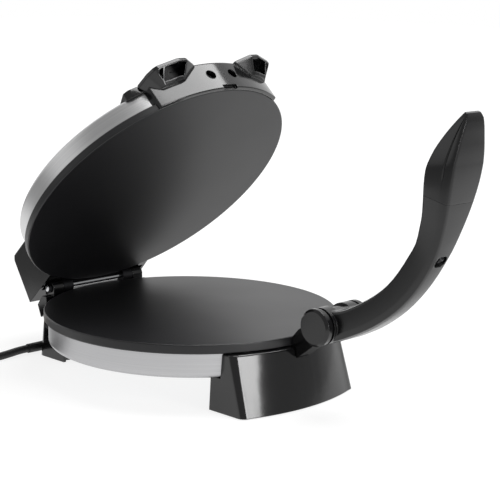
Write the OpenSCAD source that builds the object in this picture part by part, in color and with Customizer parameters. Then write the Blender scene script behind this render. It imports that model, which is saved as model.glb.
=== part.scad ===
// Electric roti maker: a hinged two-plate cooker with a pressing lever in front.
// X runs left to right, -Y is the front, where the user stands, and Z is up.
// The table is z = 0. The lid stands open at rest, as it is left between two rotis.

/* [Plates] */
// Diameter of both cooking plates
plate_d = 254; // [230:1:280]
// Height of the lower plate's visible rim
lower_rim_h = 8; // [6:0.5:10]
// Height of the upper plate's visible rim
upper_rim_h = 7; // [5:0.5:9]
// Space between the closed plates
roti_gap = 3; // [2:0.25:4]
// Thickness of a plate's cooking floor
plate_floor = 5; // [4:0.5:6]
// Mean radius of each heating element
element_r = 86; // [75:1:95]
// Diameter of the sheathed heating element
element_d = 6.5; // [5.5:0.25:7.5]

/* [Pans] */
// Height of the pan's underside over the table
base_lift = 29; // [26:0.5:34]
// Height of the stainless base band
pan_h = 21; // [18:0.5:25]
// How far the base band lies inside the plate's edge
pan_inset = 4; // [3.5:0.25:5]
// How far the lid band lies inside the plate's edge
lid_inset = 3.5; // [3:0.25:4]
// Height of the stainless lid band, with its rounded shoulder
lid_band_h = 18; // [15:0.5:22]
// Rise of the domed lid top over its band
dome_rise = 6; // [4:0.5:9]
// Thickness of the stainless sheet
sheet_t = 1; // [0.8:0.1:1.4]

/* [Feet] */
// Half the width of each foot at the table
foot_half_w = 66.7; // [62:0.1:72]
// Thickness of the moulded walls of the feet
foot_wall = 2.6; // [2:0.1:3.2]
// How far the front foot's middle stands in front of the plates' edge, at the table
front_ahead = 16; // [13:0.5:22]
// Diameter of a rubber pad
pad_d = 14; // [10:0.5:16]

/* [Hinge] */
// How far the lid stands open at rest, in degrees
lid_open = 47.24; // [40:0.01:50]
// Distance of the hinge pin behind the plate's edge
hinge_back = 3.4; // [3:0.1:5]
// Diameter of the hinge pin
hinge_pin_d = 5; // [4:0.25:6]

/* [Lever] */
// Distance of the lever's pivot in front of the plate's edge
pivot_ahead = 40; // [38:0.5:44]
// Height of the lever's pivot over the lower plate's top
pivot_rise = 17.5; // [15:0.5:20]
// Diameter of the lever's hub
hub_d = 30; // [26:0.5:32]
// Diameter of the pivot bolt
pivot_bolt_d = 8; // [6:0.5:9]
// How far the lever's tip stands in front of its pivot
lever_reach = 125; // [115:0.5:135]
// How high the lever's tip stands over its pivot
lever_rise = 177.5; // [165:0.5:185]
// Width of the lever's paddle
paddle_w = 38; // [34:0.5:44]
// Width of the lever's waist
waist_w = 19.5; // [18:0.5:26]

/* [Controls] */
// Height of the control panel over the table when the lid is shut
panel_z = 110; // [106:0.5:116]
// Diameter of the knob's skirt
knob_skirt_d = 32; // [28:0.5:34]
// Diameter of the knob's cap
knob_cap_d = 26; // [22:0.5:28]
// Height of the whole knob over the panel
knob_h = 24; // [20:0.5:28]
// Length of an indicator lens
lens_l = 19; // [15:0.5:22]
// Width of an indicator lens
lens_w = 8; // [6:0.5:10]
// Distance between the two lenses
lens_spacing = 50; // [44:1:56]

/* [Cord] */
// Diameter of the mains cord
cord_d = 7; // [6:0.25:7.25]

/* [Hidden] */
$fn = 64;

// Clearances
seat = 0.2;      // between pieces that are fastened together
swing = 0.3;     // between faces that pass each other
running = 0.05;  // radial, a pin or shaft in its bore
e = 0.01;        // overshoot of a cut

// Heights and radii that follow from the driving sizes
plate_r = plate_d / 2;
pan_r = plate_r - pan_inset;
pan_top = base_lift + pan_h;
lower_top = pan_top + lower_rim_h;
face_z = lower_top + roti_gap;
band_z = face_z + upper_rim_h;
lid_r = plate_r - lid_inset;
front_reach = plate_r + front_ahead;
shoulder_z = band_z + lid_band_h;
dome_top = shoulder_z + dome_rise;
hinge_y = plate_r + hinge_back;
hinge_z = lower_top + 2.1;
pivot_y = -plate_r - pivot_ahead;
pivot_z = lower_top + pivot_rise;

// ---------- helpers ----------

function lerp(a, b, t) = a + (b - a) * t;
function unit(v) = v / norm(v);
function span(n) = [for (i = [0:n]) i / n];

// One rounded corner at b, as n + 1 points
function corner(a, b, c, r, n) = let (
        u = unit(a - b), v = unit(c - b),
        half = acos(max(-1, min(1, u * v))) / 2,
        o = b + unit(u + v) * r / sin(half),
        p = b + u * r / tan(half), q = b + v * r / tan(half),
        a0 = atan2(p.y - o.y, p.x - o.x), a1 = atan2(q.y - o.y, q.x - o.x),
        turn = ((a1 - a0 + 540) % 360) - 180)
    [for (t = span(n)) o + r * [cos(a0 + turn * t), sin(a0 + turn * t)]];

// A polygon with its corner i rounded to radii[i]
function rounded(pts, radii, n = 6) = let (m = len(pts)) [for (i = [0:m - 1])
    each radii[i] > 0
        ? corner(pts[(i + m - 1) % m], pts[i], pts[(i + 1) % m], radii[i], n) : [pts[i]]];

function arc(c, r, a0, a1, n) = [for (t = span(n)) c + r * [cos(lerp(a0, a1, t)),
    sin(lerp(a0, a1, t))]];

function obround(l, w, n = 12) = concat(arc([l / 2 - w / 2, 0], w / 2, -90, 90, n),
    arc([w / 2 - l / 2, 0], w / 2, 90, 270, n));

// A closed solid through a list of rings with the same number of points
module loft(rings) {
    n = len(rings[0]);
    m = len(rings);
    polyhedron([for (ring = rings) each ring], concat(
        [[for (j = [0:n - 1]) j]],
        [for (i = [0:m - 2], j = [0:n - 1]) [i * n + j, (i + 1) * n + j, (i + 1) * n + (j + 1) % n]],
        [for (i = [0:m - 2], j = [0:n - 1]) [i * n + j, (i + 1) * n + (j + 1) % n, i * n + (j + 1) % n]],
        [[for (j = [n - 1:-1:0]) (m - 1) * n + j]]));
}

// A tube of the given diameter along points, with flat ends square to the route
function tangent(p, i) = let (m = len(p) - 1)
    i == 0 ? unit(p[1] - p[0]) : i == m ? unit(p[m] - p[m - 1]) : unit(p[i + 1] - p[i - 1]);
module tube(p, d, sides, phase = 0) loft([for (i = [0:len(p) - 1]) let (
        t = tangent(p, i), s = unit(cross([0, 0, 1], t)), u = cross(t, s))
    [for (k = [0:sides - 1]) let (a = phase + 360 * k / sides)
        p[i] + s * d / 2 * cos(a) + u * d / 2 * sin(a)]]);

module mirrored(v) { children(); mirror(v) children(); }
module along_x(x0, x1, r, y = 0, z = 0) translate([x0, y, z]) rotate([0, 90, 0])
    cylinder(r = r, h = x1 - x0);
module ring_cut(r0, r1, z0, z1) difference() {
    translate([0, 0, z0]) cylinder(r = r1, h = z1 - z0, $fn = 128);
    translate([0, 0, z0 - 1]) cylinder(r = r0, h = z1 - z0 + 2, $fn = 128);
}
module side_profile(pts, x0, x1) translate([x0, 0, 0]) rotate([90, 0, 90])
    linear_extrude(x1 - x0) polygon(pts);

// ---------- places ----------

// The origin is under the middle of the whole part without its cord, so the plate axis
// stands behind it by half the difference between the lever's and the housing's reach.
housing_back = hinge_y + 23.5;
housing_top_back = hinge_y + 15.2;
housing_floor = face_z + 2.6;
edge_z = panel_z - 4.6;
function opened(y, z) = [
    hinge_y + (y - hinge_y) * cos(lid_open) + (z - hinge_z) * sin(lid_open),
    hinge_z - (y - hinge_y) * sin(lid_open) + (z - hinge_z) * cos(lid_open)];
rear_extent = opened(housing_top_back - 4, panel_z)[0];
front_extent = lever_reach - pivot_y;
axis_y = (front_extent - rear_extent) / 2;

module base_place() translate([0, axis_y, 0]) children();
module lid_place() base_place() translate([0, hinge_y, hinge_z]) rotate([-lid_open, 0, 0])
    translate([0, -hinge_y, -hinge_z]) children();
module arm_place() base_place() translate([0, pivot_y, pivot_z]) children();

// ---------- base: pan, plate and heater ----------

pan_corner = 4;
lip_w = 11;
cover_z = base_lift + sheet_t + 0.1;
cover_t = 1.2;
cover_r = pan_r - sheet_t - 3;
vent_count = 20;
stud_ring = element_r - 24;
stud_r = 4;
stud_angles = [30, 150, 270];
reflector_drop = 12;

module base_pan() color("silver") base_place() difference() {
    rotate_extrude($fn = 128) polygon(concat(
        arc([pan_r - pan_corner, base_lift + pan_corner], pan_corner, -90, 0, 8),
        [[pan_r, pan_top], [pan_r - sheet_t, pan_top]],
        arc([pan_r - pan_corner, base_lift + pan_corner], pan_corner - sheet_t, 0, -90, 8),
        [[pan_r - lip_w, base_lift + sheet_t], [pan_r - lip_w, base_lift]]));
    foot_screw_spots() translate([0, 0, base_lift - 1])
        cylinder(r = foot_screw_r + running, h = sheet_t + 2);
}

module bottom_cover() color("gray") base_place() difference() {
    translate([0, 0, cover_z]) cylinder(r = cover_r, h = cover_t, $fn = 128);
    foot_screw_spots() translate([0, 0, cover_z - 1]) cylinder(r = foot_screw_r + 1, h = 4);
    at_studs() translate([0, 0, cover_z - 1]) cylinder(r = 1.6, h = 4);
    for (i = [0:vent_count - 1]) rotate(i * 360 / vent_count)
        translate([stud_ring + 12, -1.5, cover_z - 1]) cube([22, 3, 4]);
}

module at_studs() for (a = stud_angles) rotate(a) translate([stud_ring, 0, 0]) children();

module bottom_screws() color("dimgray") base_place() at_studs() {
    translate([0, 0, cover_z - 2.2]) cylinder(r = 3.4, h = 2.1);
    translate([0, 0, cover_z - 1]) cylinder(r = 1.5, h = 9);
}

module lower_studs() color("gray") base_place() at_studs() difference() {
    translate([0, 0, cover_z + cover_t]) cylinder(r = stud_r,
        h = lower_top - plate_floor - cover_z - cover_t);
    translate([0, 0, cover_z]) cylinder(r = 1.5 + running, h = 10);
}

// The cast plate: cooking floor, rim, spigot into its pan and the rib that holds the element.
// Written for the lower plate; the upper one is the same casting turned over.
rib_w = 14;
spigot_h = 4;
module plate(rim_h, spigot_r) {
    rib_z = -plate_floor - 4;
    difference() {
        rotate_extrude($fn = 128) polygon(concat(
            [[0, 0]], arc([plate_r - 1.2, -1.2], 1.2, 90, 0, 4),
            [[plate_r, 1 - rim_h], [plate_r - 1, -rim_h], [spigot_r, -rim_h],
            [spigot_r, -rim_h - spigot_h], [spigot_r - 3, -rim_h - spigot_h],
            [spigot_r - 3, -plate_floor], [element_r + rib_w / 2, -plate_floor],
            [element_r + rib_w / 2, rib_z], [element_r - rib_w / 2, rib_z],
            [element_r - rib_w / 2, -plate_floor], [0, -plate_floor]]));
        rotate_extrude($fn = 96) translate([element_r, rib_z]) circle(r = element_d / 2 + seat,
            $fn = 32);
    }
}
module element() {
    gap_a = 15;
    rotate(-90 + gap_a) rotate_extrude(angle = 360 - 2 * gap_a, $fn = 96)
        translate([element_r, -plate_floor - 4]) circle(r = element_d / 2, $fn = 24);
    for (s = [-1, 1]) rotate(-90 + s * gap_a) translate([element_r, 0, -plate_floor - 12])
        cylinder(r = 2.2, h = 8, $fn = 24);
}
module reflector(r) {
    gap_a = 15;
    difference() {
        rotate_extrude($fn = 96) polygon([[0, 0], [r, 0], [r + 2, 6], [r + 1.2, 6],
            [r - 0.7, 0.8], [0, 0.8]]);
        at_studs() translate([0, 0, -1]) cylinder(r = stud_r + seat, h = 4);
        for (s = [-1, 1]) rotate(-90 + s * gap_a) translate([element_r, 0, -1])
            cylinder(r = 4, h = 4, $fn = 24);
    }
}
reflector_r = pan_r - 12;

module lower_plate() color("#3c3c3e") base_place() translate([0, 0, lower_top])
    plate(lower_rim_h, pan_r - sheet_t - seat);
module lower_element() color("#5a5048") base_place() translate([0, 0, lower_top]) element();
module lower_reflector() color("gainsboro") base_place()
    translate([0, 0, lower_top - plate_floor - reflector_drop]) reflector(reflector_r);

// ---------- feet ----------

foot_lift = 1;
foot_h = pan_top - 0.4;
foot_back = plate_r - 33.7;
foot_corner = 7;
pad_h = 4;
foot_screw_r = 1.6;
foot_screw_ring = pan_r - lip_w / 2 - 0.8;
foot_screw_a = 17;
notch_half = 8.6;

// One level of a foot: straight flanks, rounded corners and a bowed front
// shape = [half width, reach at the middle, bow] at the table and at the top
function foot_ring(z, low, high, inset) = let (
        f = z / foot_h,
        w = lerp(low[0], high[0], f) - inset, mid = lerp(low[1], high[1], f) - inset,
        bow = lerp(low[2], high[2], f), rc = max(foot_corner - inset, 1),
        xs = [for (t = span(14)) lerp(-(w - rc), w - rc, t)],
        edge = -mid + bow * pow((w - rc) / w, 2))
    [for (p = concat([[-w, -foot_back + inset]], arc([-(w - rc), edge + rc], rc, 180, 270, 5),
        [for (x = xs) [x, -mid + bow * x * x / (w * w)]],
        arc([w - rc, edge + rc], rc, 270, 360, 5), [[w, -foot_back + inset]])) [p.x, p.y, z]];

module foot_shell(low, high) difference() {
    loft([foot_ring(foot_lift, low, high, 0), foot_ring(foot_h - 1.6, low, high, 0),
        foot_ring(foot_h - 0.5, low, high, 0.5), foot_ring(foot_h, low, high, 1.6)]);
    // the pan's seat
    translate([0, 0, base_lift - seat]) cylinder(r = pan_r + seat, h = pan_h, $fn = 128);
    // the hollow underneath, with a wall left along the pan
    difference() {
        loft([foot_ring(foot_lift - 1, low, high, foot_wall),
            foot_ring(foot_h - foot_wall, low, high, foot_wall)]);
        translate([0, 0, base_lift - seat - foot_wall])
            cylinder(r = pan_r + seat + foot_wall, h = pan_h, $fn = 128);
        pad_spots() translate([0, 0, -1]) cylinder(r = pad_d / 2 + 1.8, h = pan_h + base_lift);
        screw_spots() translate([0, 0, base_lift - 9]) cylinder(r = 5, h = 12);
    }
    pad_spots() translate([0, 0, -1]) cylinder(r = pad_d / 2 + seat, h = pad_h + 1);
    screw_spots() {
        translate([0, 0, -1]) cylinder(r = foot_screw_r + running, h = base_lift + 4);
        translate([0, 0, -1]) cylinder(r = 3.6, h = base_lift - 5 + 1);
    }
}

// Spots on the front half; the rear foot is mirrored to it
module pad_spots() mirrored([1, 0, 0])
    translate([foot_half_w - pad_d / 2 - 5.5, -foot_back - pad_d / 2 - 6, 0]) children();
module screw_spots() for (s = [-1, 1]) rotate(-90 + s * foot_screw_a)
    translate([foot_screw_ring, 0, 0]) children();
module foot_screw_spots() mirrored([0, 1, 0]) screw_spots() children();

front_low = [foot_half_w, front_reach, 12.4];
front_high = [foot_half_w - 2.4, plate_r + 4.2, 16.5];
rear_low = [foot_half_w, plate_r + 10, 8.3];
rear_high = [foot_half_w - 0.8, plate_r + 6, 9.5];

module front_foot() color("#1c1c1e") base_place() difference() {
    foot_shell(front_low, front_high);
    // notch in the top of the front wall for the lever's bracket
    translate([-notch_half, -front_reach - 5, pan_top - 8.6])
        cube([2 * notch_half, front_reach - pan_r - foot_wall + 5.4, 20]);
}

lug_r = 6;
lug_in = 41.4;
lug_out = 53;
saddle_z = hinge_z - lug_r;
module rear_foot() color("#1c1c1e") base_place() difference() {
    union() {
        difference() {
            union() {
                mirror([0, 1, 0]) foot_shell(rear_low, rear_high);
                side_profile([[pan_r + 1, saddle_z - 14], [pan_r + 2.4, saddle_z],
                    [hinge_y + 1, saddle_z], [hinge_y + 7.5, saddle_z - 9],
                    [hinge_y + 3, saddle_z - 20]], -lug_out - 8, lug_out + 8);
            }
            translate([0, 0, base_lift - seat])
                cylinder(r = pan_r + seat, h = pan_h + e, $fn = 128);
        }
        mirrored([1, 0, 0]) {
            along_x(lug_in, lug_out, lug_r, hinge_y, hinge_z);
            translate([lug_in, hinge_y - lug_r, saddle_z - 1])
                cube([lug_out - lug_in, 2 * lug_r, hinge_z - saddle_z + 1]);
        }
    }
    translate([0, 0, pan_top - 0.3]) cylinder(r = plate_r + 0.4, h = 40, $fn = 128);
    along_x(-lug_out - 1, lug_out + 1, hinge_pin_d / 2 + running, hinge_y, hinge_z);
    gland_hole();
}

module foot_pads() color("#101010") base_place() mirrored([0, 1, 0]) pad_spots()
    cylinder(r = pad_d / 2, h = pad_h);

module foot_screws() color("dimgray") base_place() foot_screw_spots() {
    translate([0, 0, base_lift - 7.4]) cylinder(r = 3.2, h = 2.4);
    translate([0, 0, base_lift - 6]) cylinder(r = foot_screw_r, h = 8.5);
}

// ---------- hinge ----------

clip_t = 1.2;
module hinge_pin() color("silver") base_place() difference() {
    along_x(-lug_out - 3, lug_out + 3, hinge_pin_d / 2, hinge_y, hinge_z);
    mirrored([1, 0, 0]) difference() {
        along_x(lug_out + seat, lug_out + seat + clip_t, hinge_pin_d / 2 + 1, hinge_y, hinge_z);
        along_x(lug_out, lug_out + 3, hinge_pin_d / 2 - 0.7, hinge_y, hinge_z);
    }
}
module hinge_clips() color("gray") base_place() mirrored([1, 0, 0]) difference() {
    along_x(lug_out + seat + 0.1, lug_out + seat + clip_t - 0.1, hinge_pin_d / 2 + 1.5,
        hinge_y, hinge_z);
    along_x(lug_out, lug_out + 3, hinge_pin_d / 2 - 0.65, hinge_y, hinge_z);
    translate([lug_out, hinge_y - 1.2, hinge_z]) cube([3, 2.4, 6]);
}

// ---------- lever pivot ----------

tongue_half = 7.5;
hub_in = tongue_half + swing + 0.2;
hub_out = 18;
boss_r = hub_d / 2 - 2;
washer_t = 2.2;
cap_t = 3.6;
bolt_head_t = 2.4;
module pivot_bracket() color("#141416") base_place() difference() {
    union() {
        side_profile(rounded([[-pan_r - foot_wall - 0.9, base_lift + 3],
            [-pan_r - foot_wall - 0.9, pan_top - 1], [-plate_r - 0.8, pan_top + 1],
            [-plate_r - 0.8, lower_top], [-plate_r - 7, lower_top + 7],
            [pivot_y + 4, pivot_z + boss_r - 3.6], [pivot_y - boss_r + 3, pivot_z],
            [pivot_y + 5, pivot_z - boss_r + 1], [-plate_r - 16, pan_top - 1.5],
            [-plate_r - 8, pan_top - 7.5], [-plate_r - 3, pan_top - 8], [-plate_r - 3, base_lift + 3]],
            [0, 0, 0, 2, 6, 2, 0, 2, 6, 2, 0, 0]), -tongue_half, tongue_half);
        along_x(-tongue_half, tongue_half, boss_r, pivot_y, pivot_z);
    }
    along_x(-tongue_half - 1, tongue_half + 1, pivot_bolt_d / 2 + running, pivot_y, pivot_z);
}
washer_x = hub_out + swing;
cap_x = washer_x + washer_t + swing;
module pivot_bolt() color("silver") base_place() {
    along_x(-cap_x - bolt_head_t, cap_x + bolt_head_t, pivot_bolt_d / 2, pivot_y, pivot_z);
    mirrored([1, 0, 0]) along_x(cap_x + 0.1, cap_x + bolt_head_t, 6.5, pivot_y, pivot_z);
}
module pivot_washers() color("#18181a") base_place() mirrored([1, 0, 0]) difference() {
    along_x(washer_x, washer_x + washer_t, hub_d / 2 - 1.4, pivot_y, pivot_z);
    along_x(washer_x - 1, washer_x + washer_t + 1, pivot_bolt_d / 2 + running, pivot_y, pivot_z);
}
module pivot_caps() color("#242426") base_place() mirrored([1, 0, 0])
    translate([cap_x, pivot_y, pivot_z]) rotate([0, 90, 0]) difference() {
        rotate_extrude() polygon([[0, 0], [hub_d / 2, 0], [hub_d / 2, cap_t + bolt_head_t - 2],
            [hub_d / 2 - 2, cap_t + bolt_head_t], [0, cap_t + bolt_head_t]]);
        translate([0, 0, -1]) cylinder(r = 6.5 + 0.1, h = bolt_head_t + 1.1);
    }

// ---------- lever ----------

// Stations up the lever, in hundredths of its reach and rise from the pivot:
// [outer face y, z, inner face y, z, half width]
function mid_w(t) = lerp(waist_w, paddle_w, t) / 2;
lever_stations = [
    [-4.0, -7.6, -4.0, 7.7, hub_out],
    [-12.1, -5.7, -8.5, 7.5, hub_out - 2.5],
    [-21.8, -2.5, -16.4, 9.5, waist_w / 2 + 4],
    [-32.3, 1.4, -26.3, 13.3, waist_w / 2 + 2.4],
    [-42.9, 6.3, -36.3, 17.9, waist_w / 2 + 1.2],
    [-53.0, 11.9, -45.7, 23.6, waist_w / 2 + 0.4],
    [-62.2, 18.4, -53.7, 30.4, mid_w(0)],
    [-70.1, 25.4, -60.8, 37.9, mid_w(0)],
    [-76.8, 32.8, -66.0, 44.0, mid_w(0.05)],
    [-82.3, 40.1, -68.8, 50.4, mid_w(0.17)],
    [-86.5, 47.5, -71.1, 56.0, mid_w(0.34)],
    [-90.0, 55.0, -72.6, 61.2, mid_w(0.56)],
    [-92.8, 62.3, -73.8, 65.3, mid_w(0.77)],
    [-95.2, 70.1, -74.8, 69.9, mid_w(0.94)],
    [-96.7, 76.5, -75.8, 75.0, mid_w(1)],
    [-97.3, 79.8, -77.2, 78.5, mid_w(1) - 0.2],
    [-98.2, 84.3, -80.6, 84.1, mid_w(1) - 1.6],
    [-99.0, 89.4, -84.8, 89.2, mid_w(1) - 3.7],
    [-99.8, 94.0, -89.6, 94.1, mid_w(1) - 6.0],
    [-100.0, 97.4, -93.9, 97.7, mid_w(1) - 8.2],
    [-98.6, 99.6, -96.6, 100.0, mid_w(1) - 10.8]];
seam_s = 12;
tip_s = len(lever_stations) - 1;
groove_s = 12.5;

// A station between two listed ones, on a smooth curve through all of them
function lever_row(s) = let (
        i = min(floor(s), tip_s - 1), t = s - i,
        a = lever_stations[max(i - 1, 0)], b = lever_stations[i],
        c = lever_stations[i + 1], d = lever_stations[min(i + 2, tip_s)])
    0.5 * (2 * b + (c - a) * t + (2 * a - 5 * b + 4 * c - d) * t * t
        + (3 * b - a - 3 * c + d) * t * t * t);
function outer_at(s) = let (r = lever_row(s)) [r[0] * lever_reach, r[1] * lever_rise] / 100;
function inner_at(s) = let (r = lever_row(s)) [r[2] * lever_reach, r[3] * lever_rise] / 100;
function centre_at(s) = (outer_at(s) + inner_at(s)) / 2;
function lever_half(s) = norm(outer_at(s) - inner_at(s)) / 2;

// The section is a rounded bar; towards the paddle a shallow groove runs up each side
function lever_section(s) = let (
        c = centre_at(s), out = unit(outer_at(s) - inner_at(s)),
        h = lever_half(s), w = lever_row(s)[4],
        r = min(3, 0.5 * h), ro = min(lerp(4.5, 2.4, s / tip_s), 0.55 * h),
        g = 0.9 * max(0, min(1, s - groove_s, tip_s - 0.5 - s)),
        box = rounded([[-w, -h], [-w, h * 0.28], [-w + g, h * 0.36], [-w, h * 0.44],
            [-w, h], [w, h], [w, h * 0.44], [w - g, h * 0.36], [w, h * 0.28], [w, -h]],
            [r, 0, 0, 0, ro, ro, 0, 0, 0, r], 2))
    [for (p = box) [p.x, c.x + out[0] * p.y, c.y + out[1] * p.y]];

module lever_loft(s0, s1) loft([for (i = [0:2 * (s1 - s0)]) lever_section(s0 + i / 2)]);

// Places its children on the middle of the lever at s, with +Y out of the outer face
module on_lever(s) {
    c = centre_at(s);
    out = outer_at(s) - inner_at(s);
    translate([0, c.x, c.y]) rotate([atan2(out.y, out.x), 0, 0]) children();
}
recess_s = 8.5;
recess_deep = 2.5;
recess_z = lever_half(recess_s) - recess_deep;

// The grip's tang reaches down inside the lower lever, where the screw holds it
tang_s = 7.8;
tang_w = 12;
tang_t = 6;
module tang(grow) {
    a = centre_at(seam_s);
    b = centre_at(tang_s);
    d = unit(b - a);
    n = [-d.y, d.x] * (tang_t / 2 + grow);
    side_profile([a + n - 3 * d, b + n + grow * d, b - n + grow * d, a - n - 3 * d],
        -tang_w / 2 - grow, tang_w / 2 + grow);
}

module arm_lower() color("#232325") arm_place() difference() {
    union() {
        difference() {
            lever_loft(0, seam_s);
            along_x(-hub_in, hub_in, boss_r + 1.5);
        }
        mirrored([1, 0, 0]) along_x(hub_in, hub_out, hub_d / 2);
    }
    // the slot for the bracket's tongue
    along_x(-hub_in, hub_in, boss_r + 1.5);
    mirrored([1, 0, 0]) along_x(hub_in - 1, hub_out + 1, bush_r);
    tang(seat);
    // oval recess and hole of the screw in the outer face
    on_lever(recess_s) {
        translate([0, recess_z + 8, 0]) rotate([90, 0, 0]) linear_extrude(8)
            polygon(obround(13, 9));
        translate([0, recess_z + 1, 0]) rotate([90, 0, 0]) cylinder(r = 1.6, h = recess_z + 1);
    }
}
bush_r = pivot_bolt_d / 2 + 2.2;
module arm_bushes() color("goldenrod") arm_place() mirrored([1, 0, 0]) difference() {
    along_x(hub_in, hub_out, bush_r - 0.05);
    along_x(hub_in - 1, hub_out + 1, pivot_bolt_d / 2 + running);
}
module arm_grip() color("#232325") arm_place() difference() {
    union() {
        lever_loft(seam_s, tip_s);
        tang(0);
    }
    on_lever(recess_s) translate([0, tang_t, 0]) rotate([90, 0, 0])
        cylinder(r = 1.6, h = 2 * tang_t);
}
module arm_screw() color("silver") arm_place() on_lever(recess_s) {
    translate([0, recess_z + 0.1, 0]) rotate([-90, 0, 0]) cylinder(r1 = 3.2, r2 = 2.6, h = 1.8);
    rotate([-90, 0, 0]) cylinder(r = 1.5, h = recess_z + 0.5);
}

// ---------- lid ----------

step_r = lid_r - 11;
shoulder_r = 4;
dome_R = (step_r * step_r + dome_rise * dome_rise) / (2 * dome_rise);
// Height of the lid's outer skin over a radius, inside the step ring
function dome_z(r) = dome_top - dome_R + sqrt(dome_R * dome_R - r * r);
function dome_curve(r1, lift, n) = [for (t = span(n)) let (r = lerp(r1, 0, t)) [r, dome_z(r) + lift]];

// Outline of the lid's outer skin, grown by g, from the shoulder to the axis
function lid_outline(g) = concat(
    arc([lid_r - shoulder_r, shoulder_z - shoulder_r], shoulder_r + g, 0, 80, 6),
    [[step_r + 1.5, shoulder_z + 0.1 + g]], dome_curve(step_r, g, 12));

module lid_cover() color("#c8c8ca") lid_place() difference() {
    rotate_extrude($fn = 128) difference() {
        polygon(concat([[lid_r, band_z]], lid_outline(0), [[0, band_z]]));
        polygon(concat([[lid_r - sheet_t, band_z - 1]], lid_outline(-sheet_t),
            [[-1, dome_top - sheet_t], [-1, band_z - 1]]));
    }
    mirrored([1, 0, 0]) hinge_screw_cut();
    mirrored([1, 0, 0]) housing_screw_cut();
    mirrored([1, 0, 0]) cover_screw_cut();
}
module lid_volume(g) rotate_extrude($fn = 128) polygon(concat(
    [[0, face_z - 20], [plate_r + g + 0.1, face_z - 20], [plate_r + g + 0.1, band_z + g],
    [lid_r + g, band_z + g]], lid_outline(g)));

module upper_plate() color("#2a2a2c") lid_place() translate([0, 0, face_z]) mirror([0, 0, 1])
    plate(upper_rim_h, lid_r - sheet_t - seat);
module upper_element() color("#5a5048") lid_place() translate([0, 0, face_z]) mirror([0, 0, 1])
    element();
upper_reflector_z = face_z + plate_floor + reflector_drop;
module upper_reflector() color("gainsboro") lid_place() translate([0, 0, upper_reflector_z])
    mirror([0, 0, 1]) reflector(lid_r - 14);
module upper_studs() color("gray") lid_place() at_studs()
    translate([0, 0, face_z + plate_floor])
        cylinder(r = stud_r, h = dome_z(stud_ring + stud_r) - sheet_t - 0.3 - face_z - plate_floor);

// ---------- lid front cover with its two ears ----------

cover_wall = 3;
cover_out = plate_r + 3.6;
cover_half = foot_half_w - 0.7;
cover_top = shoulder_z + 4;
horn_tip = [cover_half + 8, 47 - plate_r];
horn_rim = [cover_half + 13.5, 30 - plate_r];
ear_wall = 2.2;
ear_rim = 3.4;
ear_deep = 14;
hole_x = 12.2;
hole_z = face_z + 15.5;
hole_r = 4.5;
screw_r = 1.5;

module cover_skin() rotate_extrude($fn = 128) polygon(concat([[0, face_z]],
    [[cover_out - 0.6, face_z], [cover_out, face_z + 0.6]],
    arc([cover_out - 2.4, cover_top - 2.4], 2.4, 0, 86, 6), [[step_r - 10, dome_z(step_r - 10) + 2.6],
    [0, dome_z(step_r - 10) + 2.6]]));

// The right ear: a flat top that overhangs the wall, drawn in below to a lip on the wall
ear_a = cover_half - 43;
ear_radii = [0, 4, 5, 6, 8, 6, 0, 0];
function ear_ring(z, g) = let (c = cover_half, y = -plate_r)
    [for (p = rounded([[ear_a + 2 * g, y + 14], [ear_a + 2 * g, y - 2.6],
        [c - 29 + 0.27 * g, y - 10.8 + g], [c - 20 - 0.23 * g, y - 10.8 + g],
        [c - 0.5 - 0.69 * g, y - 1.8 + 0.78 * g], [c + 3 - g, y + 7 + 0.3 * g],
        [c + 4.5 - g, y + 20], [c - 16, y + 20]], ear_radii, 4)) [p.x, p.y, z]];
function ear_foot(z, g, out) = let (c = cover_half, y = -plate_r)
    [for (p = rounded([[c - 28 + g, y + 14], [c - 28 + g, y + 1], [c - 24 + g, y + 0.6 - out],
        [c - 18, y + 2.2 - out], [c - 8 - 0.5 * g, y + 6 - out], [c - 6 - g, y + 9.5 - 0.5 * out],
        [c - 5 - g, y + 20], [c - 16, y + 20]], ear_radii * 0.25, 4)) [p.x, p.y, z]];
module ear_body() loft([ear_foot(cover_top - ear_deep, 0, 0), ear_ring(cover_top - ear_rim, 0),
    ear_ring(cover_top - 1.2, 0), ear_ring(cover_top - 0.4, 0.4), ear_ring(cover_top, 1.2)]);
module ear_hollow() difference() {
    loft([ear_foot(cover_top - ear_deep + ear_wall, ear_wall, 18),
        ear_ring(cover_top - ear_wall, ear_wall)]);
    translate([0, 0, face_z]) cylinder(r = cover_out, h = 40, $fn = 128);
}
// A small gusset across the hollow, at a distance from the cover's flank
module ear_gusset(in) side_profile([[10 - plate_r, cover_top - 1], [-plate_r - 6, cover_top - 1],
    [-plate_r - 6, cover_top - ear_rim + 0.6], [1 - plate_r, cover_top - ear_deep + 1.5],
    [10 - plate_r, cover_top - ear_deep + 1.5]], cover_half - in, cover_half - in + 1.8);

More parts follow.
